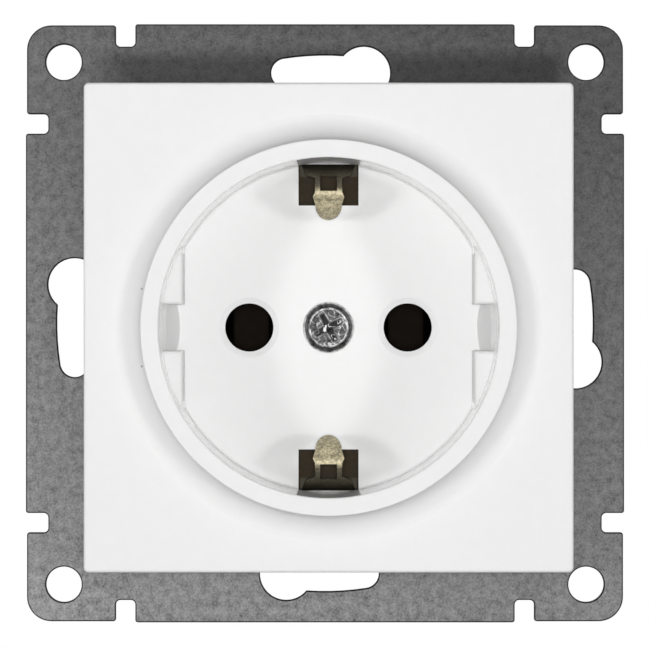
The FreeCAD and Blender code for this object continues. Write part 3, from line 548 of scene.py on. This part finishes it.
def makeScrew(look, top, out, up):
    # Rows run from the middle of the head to the tip. A row's radius and its depth below the
    # head come from the outline, a ridge that turns once a pitch makes the thread, and the
    # recess pushes the head's middle down.
    outline = np.array(look["outline"])
    steps = np.concatenate([[0], np.cumsum(np.linalg.norm(np.diff(outline, axis=0), axis=1))])
    stations = np.unique(np.concatenate([steps, np.arange(0, steps[-1], threadForm["grain"])]))
    radius = np.interp(stations, steps, outline[:, 0])[:, None]
    depth = np.interp(stations, steps, outline[:, 1])[:, None]
    angle = np.linspace(0, 2 * math.pi, look["columns"], endpoint=False)[None, :]
    wave = np.abs(((depth / look["pitch"] - angle / (2 * math.pi)) % 1) * 2 - 1)
    groove = np.clip(threadForm["crest"] - threadForm["steep"] * wave, 0, 1)
    start, end = look["thread"]
    fadeIn = np.clip((depth - start) / threadForm["fade"], 0, 1)
    fadeOut = np.clip((end - depth) / threadForm["fade"], 0, 1)
    onShank = (np.arange(len(stations)) > np.searchsorted(stations, steps[look["shankRow"]]))[:, None]
    across = np.maximum(radius - look["threadDepth"] * groove * fadeIn * fadeOut * onShank, 0)
    onHead = (stations <= steps[look["rimRow"]])[:, None]
    below = depth + look["shape"](across, angle, look["recess"]) * onHead
    side = np.cross(out, up)
    grid = (across * np.cos(angle))[..., None] * side + (across * np.sin(angle))[..., None] * up
    makeSurface(look["name"], top + (grid - below[..., None] * out) * mm, look["replaces"])


def measureScrew(node, out):
    # A screw's length in millimetres, and the middle of its head's top in metres.
    low, high = (np.array(corner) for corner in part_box(node))
    length = float(np.abs(np.dot(high - low, out)))
    return length / mm, (low + high) / 2 + out * length / 2


def makeScrews():
    out = np.array((0.0, -1.0, 0.0))
    length, top = measureScrew("centre_screw", out)
    rim, under = 0.5, 2.0  # depths of the head's edge and of its underside
    centre = dict(name="centreScrewThreaded", replaces="centre_screw", columns=128,
                  outline=[(0, 0), (1.15, 0.04), (2.27, 0.14), (2.33, 0.18), (2.38, 0.33),
                           (2.94, rim - 0.02), (3.0, rim + 0.03), (1.5, under), (1.5, length - 0.75),
                           (0.75, length), (0, length)],
                  rimRow=3, shankRow=7, thread=(2.6, length - 0.3), pitch=0.5, threadDepth=0.28,
                  shape=crossDepth, recess=dict(turn=math.radians(-28), width=1.15, reach=2.1, depth=0.45,
                                                slope=1.1, taper=0.25, soft=0.25))
    makeScrew(centre, top, out, np.array((0.0, 0.0, 1.0)))
    outwards = dict(live=(1.0, 0.0, 0.0), neutral=(-1.0, 0.0, 0.0), earth=(0.0, 0.0, -1.0))
    for pole, direction in outwards.items():
        node = pole + "_terminal_screw"
        out = np.array(direction)
        length, top = measureScrew(node, out)
        terminal = dict(name=pole + "TerminalScrewThreaded", replaces=node, columns=96,
                        outline=[(0, 0), (2.5, 0), (2.72, 0.08), (2.8, 0.3), (2.8, 1.9), (1.75, 1.9),
                                 (1.75, length - 0.25), (1.5, length), (0, length)],
                        rimRow=3, shankRow=5, thread=(1.9, length + 0.2), pitch=0.6, threadDepth=0.3,
                        shape=slotDepth, recess=dict(turn=0.0, width=0.8, depth=0.9, soft=0.08))
        makeScrew(terminal, top, out, np.array((0.0, 1.0, 0.0)))


makeScrews()
print("screws are threaded")


# Stage, light and camera

stageLook = dict(floorZ=-0.056, floorX=(-0.6, 0.6), floorY=(-0.9, 0.15), floorColor=(0.86, 0.86, 0.86),
                 floorRough=0.8, floorGlow=0.92, floorShare=0.6, world=0.09)
view = dict(distance=0.513, lens=240.0, sensor=36.0, aimX=-0.00006, aimZ=-0.00014, nearest=0.01)
lamps = {
    "front": dict(place=(0.0, -0.80, 0.0), size=0.08, power=3.22),
    "left": dict(place=(-0.405, -0.518, 0.0), size=0.10, power=0.85),
    "right": dict(place=(0.405, -0.518, 0.0), size=0.10, power=0.79),
    "grazeLeft": dict(place=(-0.55, -0.06, -0.03), size=0.30, power=0.50),
    "grazeRight": dict(place=(0.55, -0.06, -0.03), size=0.30, power=0.40),
}


def seenDirectly(tree):
    # 1 for the camera and for what gloss or glass shows, 0 for the light that falls on things.
    path = tree.nodes.new("ShaderNodeLightPath")
    seen = addMath(tree, "MAXIMUM", path.outputs["Is Camera Ray"], path.outputs["Is Transmission Ray"])
    return addMath(tree, "MAXIMUM", seen, path.outputs["Is Glossy Ray"])


def makeFloor():
    mesh = bpy.data.meshes.new("floor")
    left, right = stageLook["floorX"]
    near, far = stageLook["floorY"]
    corners = [(left, near), (right, near), (right, far), (left, far)]
    mesh.from_pydata([(x, y, stageLook["floorZ"]) for x, y in corners], [], [(0, 1, 2, 3)])
    floor = addObject("floor", mesh)
    material, tree, shader = newMaterial("floorPaint")
    shader.inputs["Base Color"].default_value = (*stageLook["floorColor"], 1.0)
    shader.inputs["Roughness"].default_value = stageLook["floorRough"]
    glow = addNode(tree, "ShaderNodeEmission", Strength=stageLook["floorGlow"])
    share = addProduct(tree, seenDirectly(tree), stageLook["floorShare"])
    both = addShaderMix(tree, share, shader.outputs[0], glow.outputs[0])
    tree.links.new(both, tree.nodes["Material Output"].inputs["Surface"])
    mesh.materials.append(material)


def makeWorld():
    # White to the camera and to reflections, and a plain grey light for everything else.
    world = bpy.data.worlds.new("studio")
    bpy.context.scene.world = world
    world.use_nodes = True
    tree = world.node_tree
    tree.nodes.clear()
    plain = addNode(tree, "ShaderNodeBackground", Color=plainWhite, Strength=stageLook["world"])
    white = addNode(tree, "ShaderNodeBackground", Color=plainWhite)
    both = addShaderMix(tree, seenDirectly(tree), plain.outputs[0], white.outputs[0])
    tree.links.new(both, addNode(tree, "ShaderNodeOutputWorld").inputs[0])


def makeLamps():
    for name, lamp in lamps.items():
        data = bpy.data.lights.new(name, "AREA")
        data.shape = "DISK"
        data.size = lamp["size"]
        data.energy = lamp["power"]
        thing = addObject(name, data)
        thing.location = lamp["place"]
        towards = Vector((0, 0, 0)) - thing.location
        thing.rotation_euler = towards.to_track_quat("-Z", "Y").to_euler()


def makeCamera():
    data = bpy.data.cameras.new("camera")
    data.lens = view["lens"]
    data.sensor_width = view["sensor"]
    data.clip_start = view["nearest"]
    camera = addObject("camera", data)
    camera.location = (view["aimX"], -view["distance"], view["aimZ"])
    camera.rotation_euler = (math.radians(90), 0, 0)
    bpy.context.scene.camera = camera


makeFloor()
makeWorld()
makeLamps()
makeCamera()
bpy.context.scene.view_settings.view_transform = "Standard"
print("stage, lamps and camera are in place")
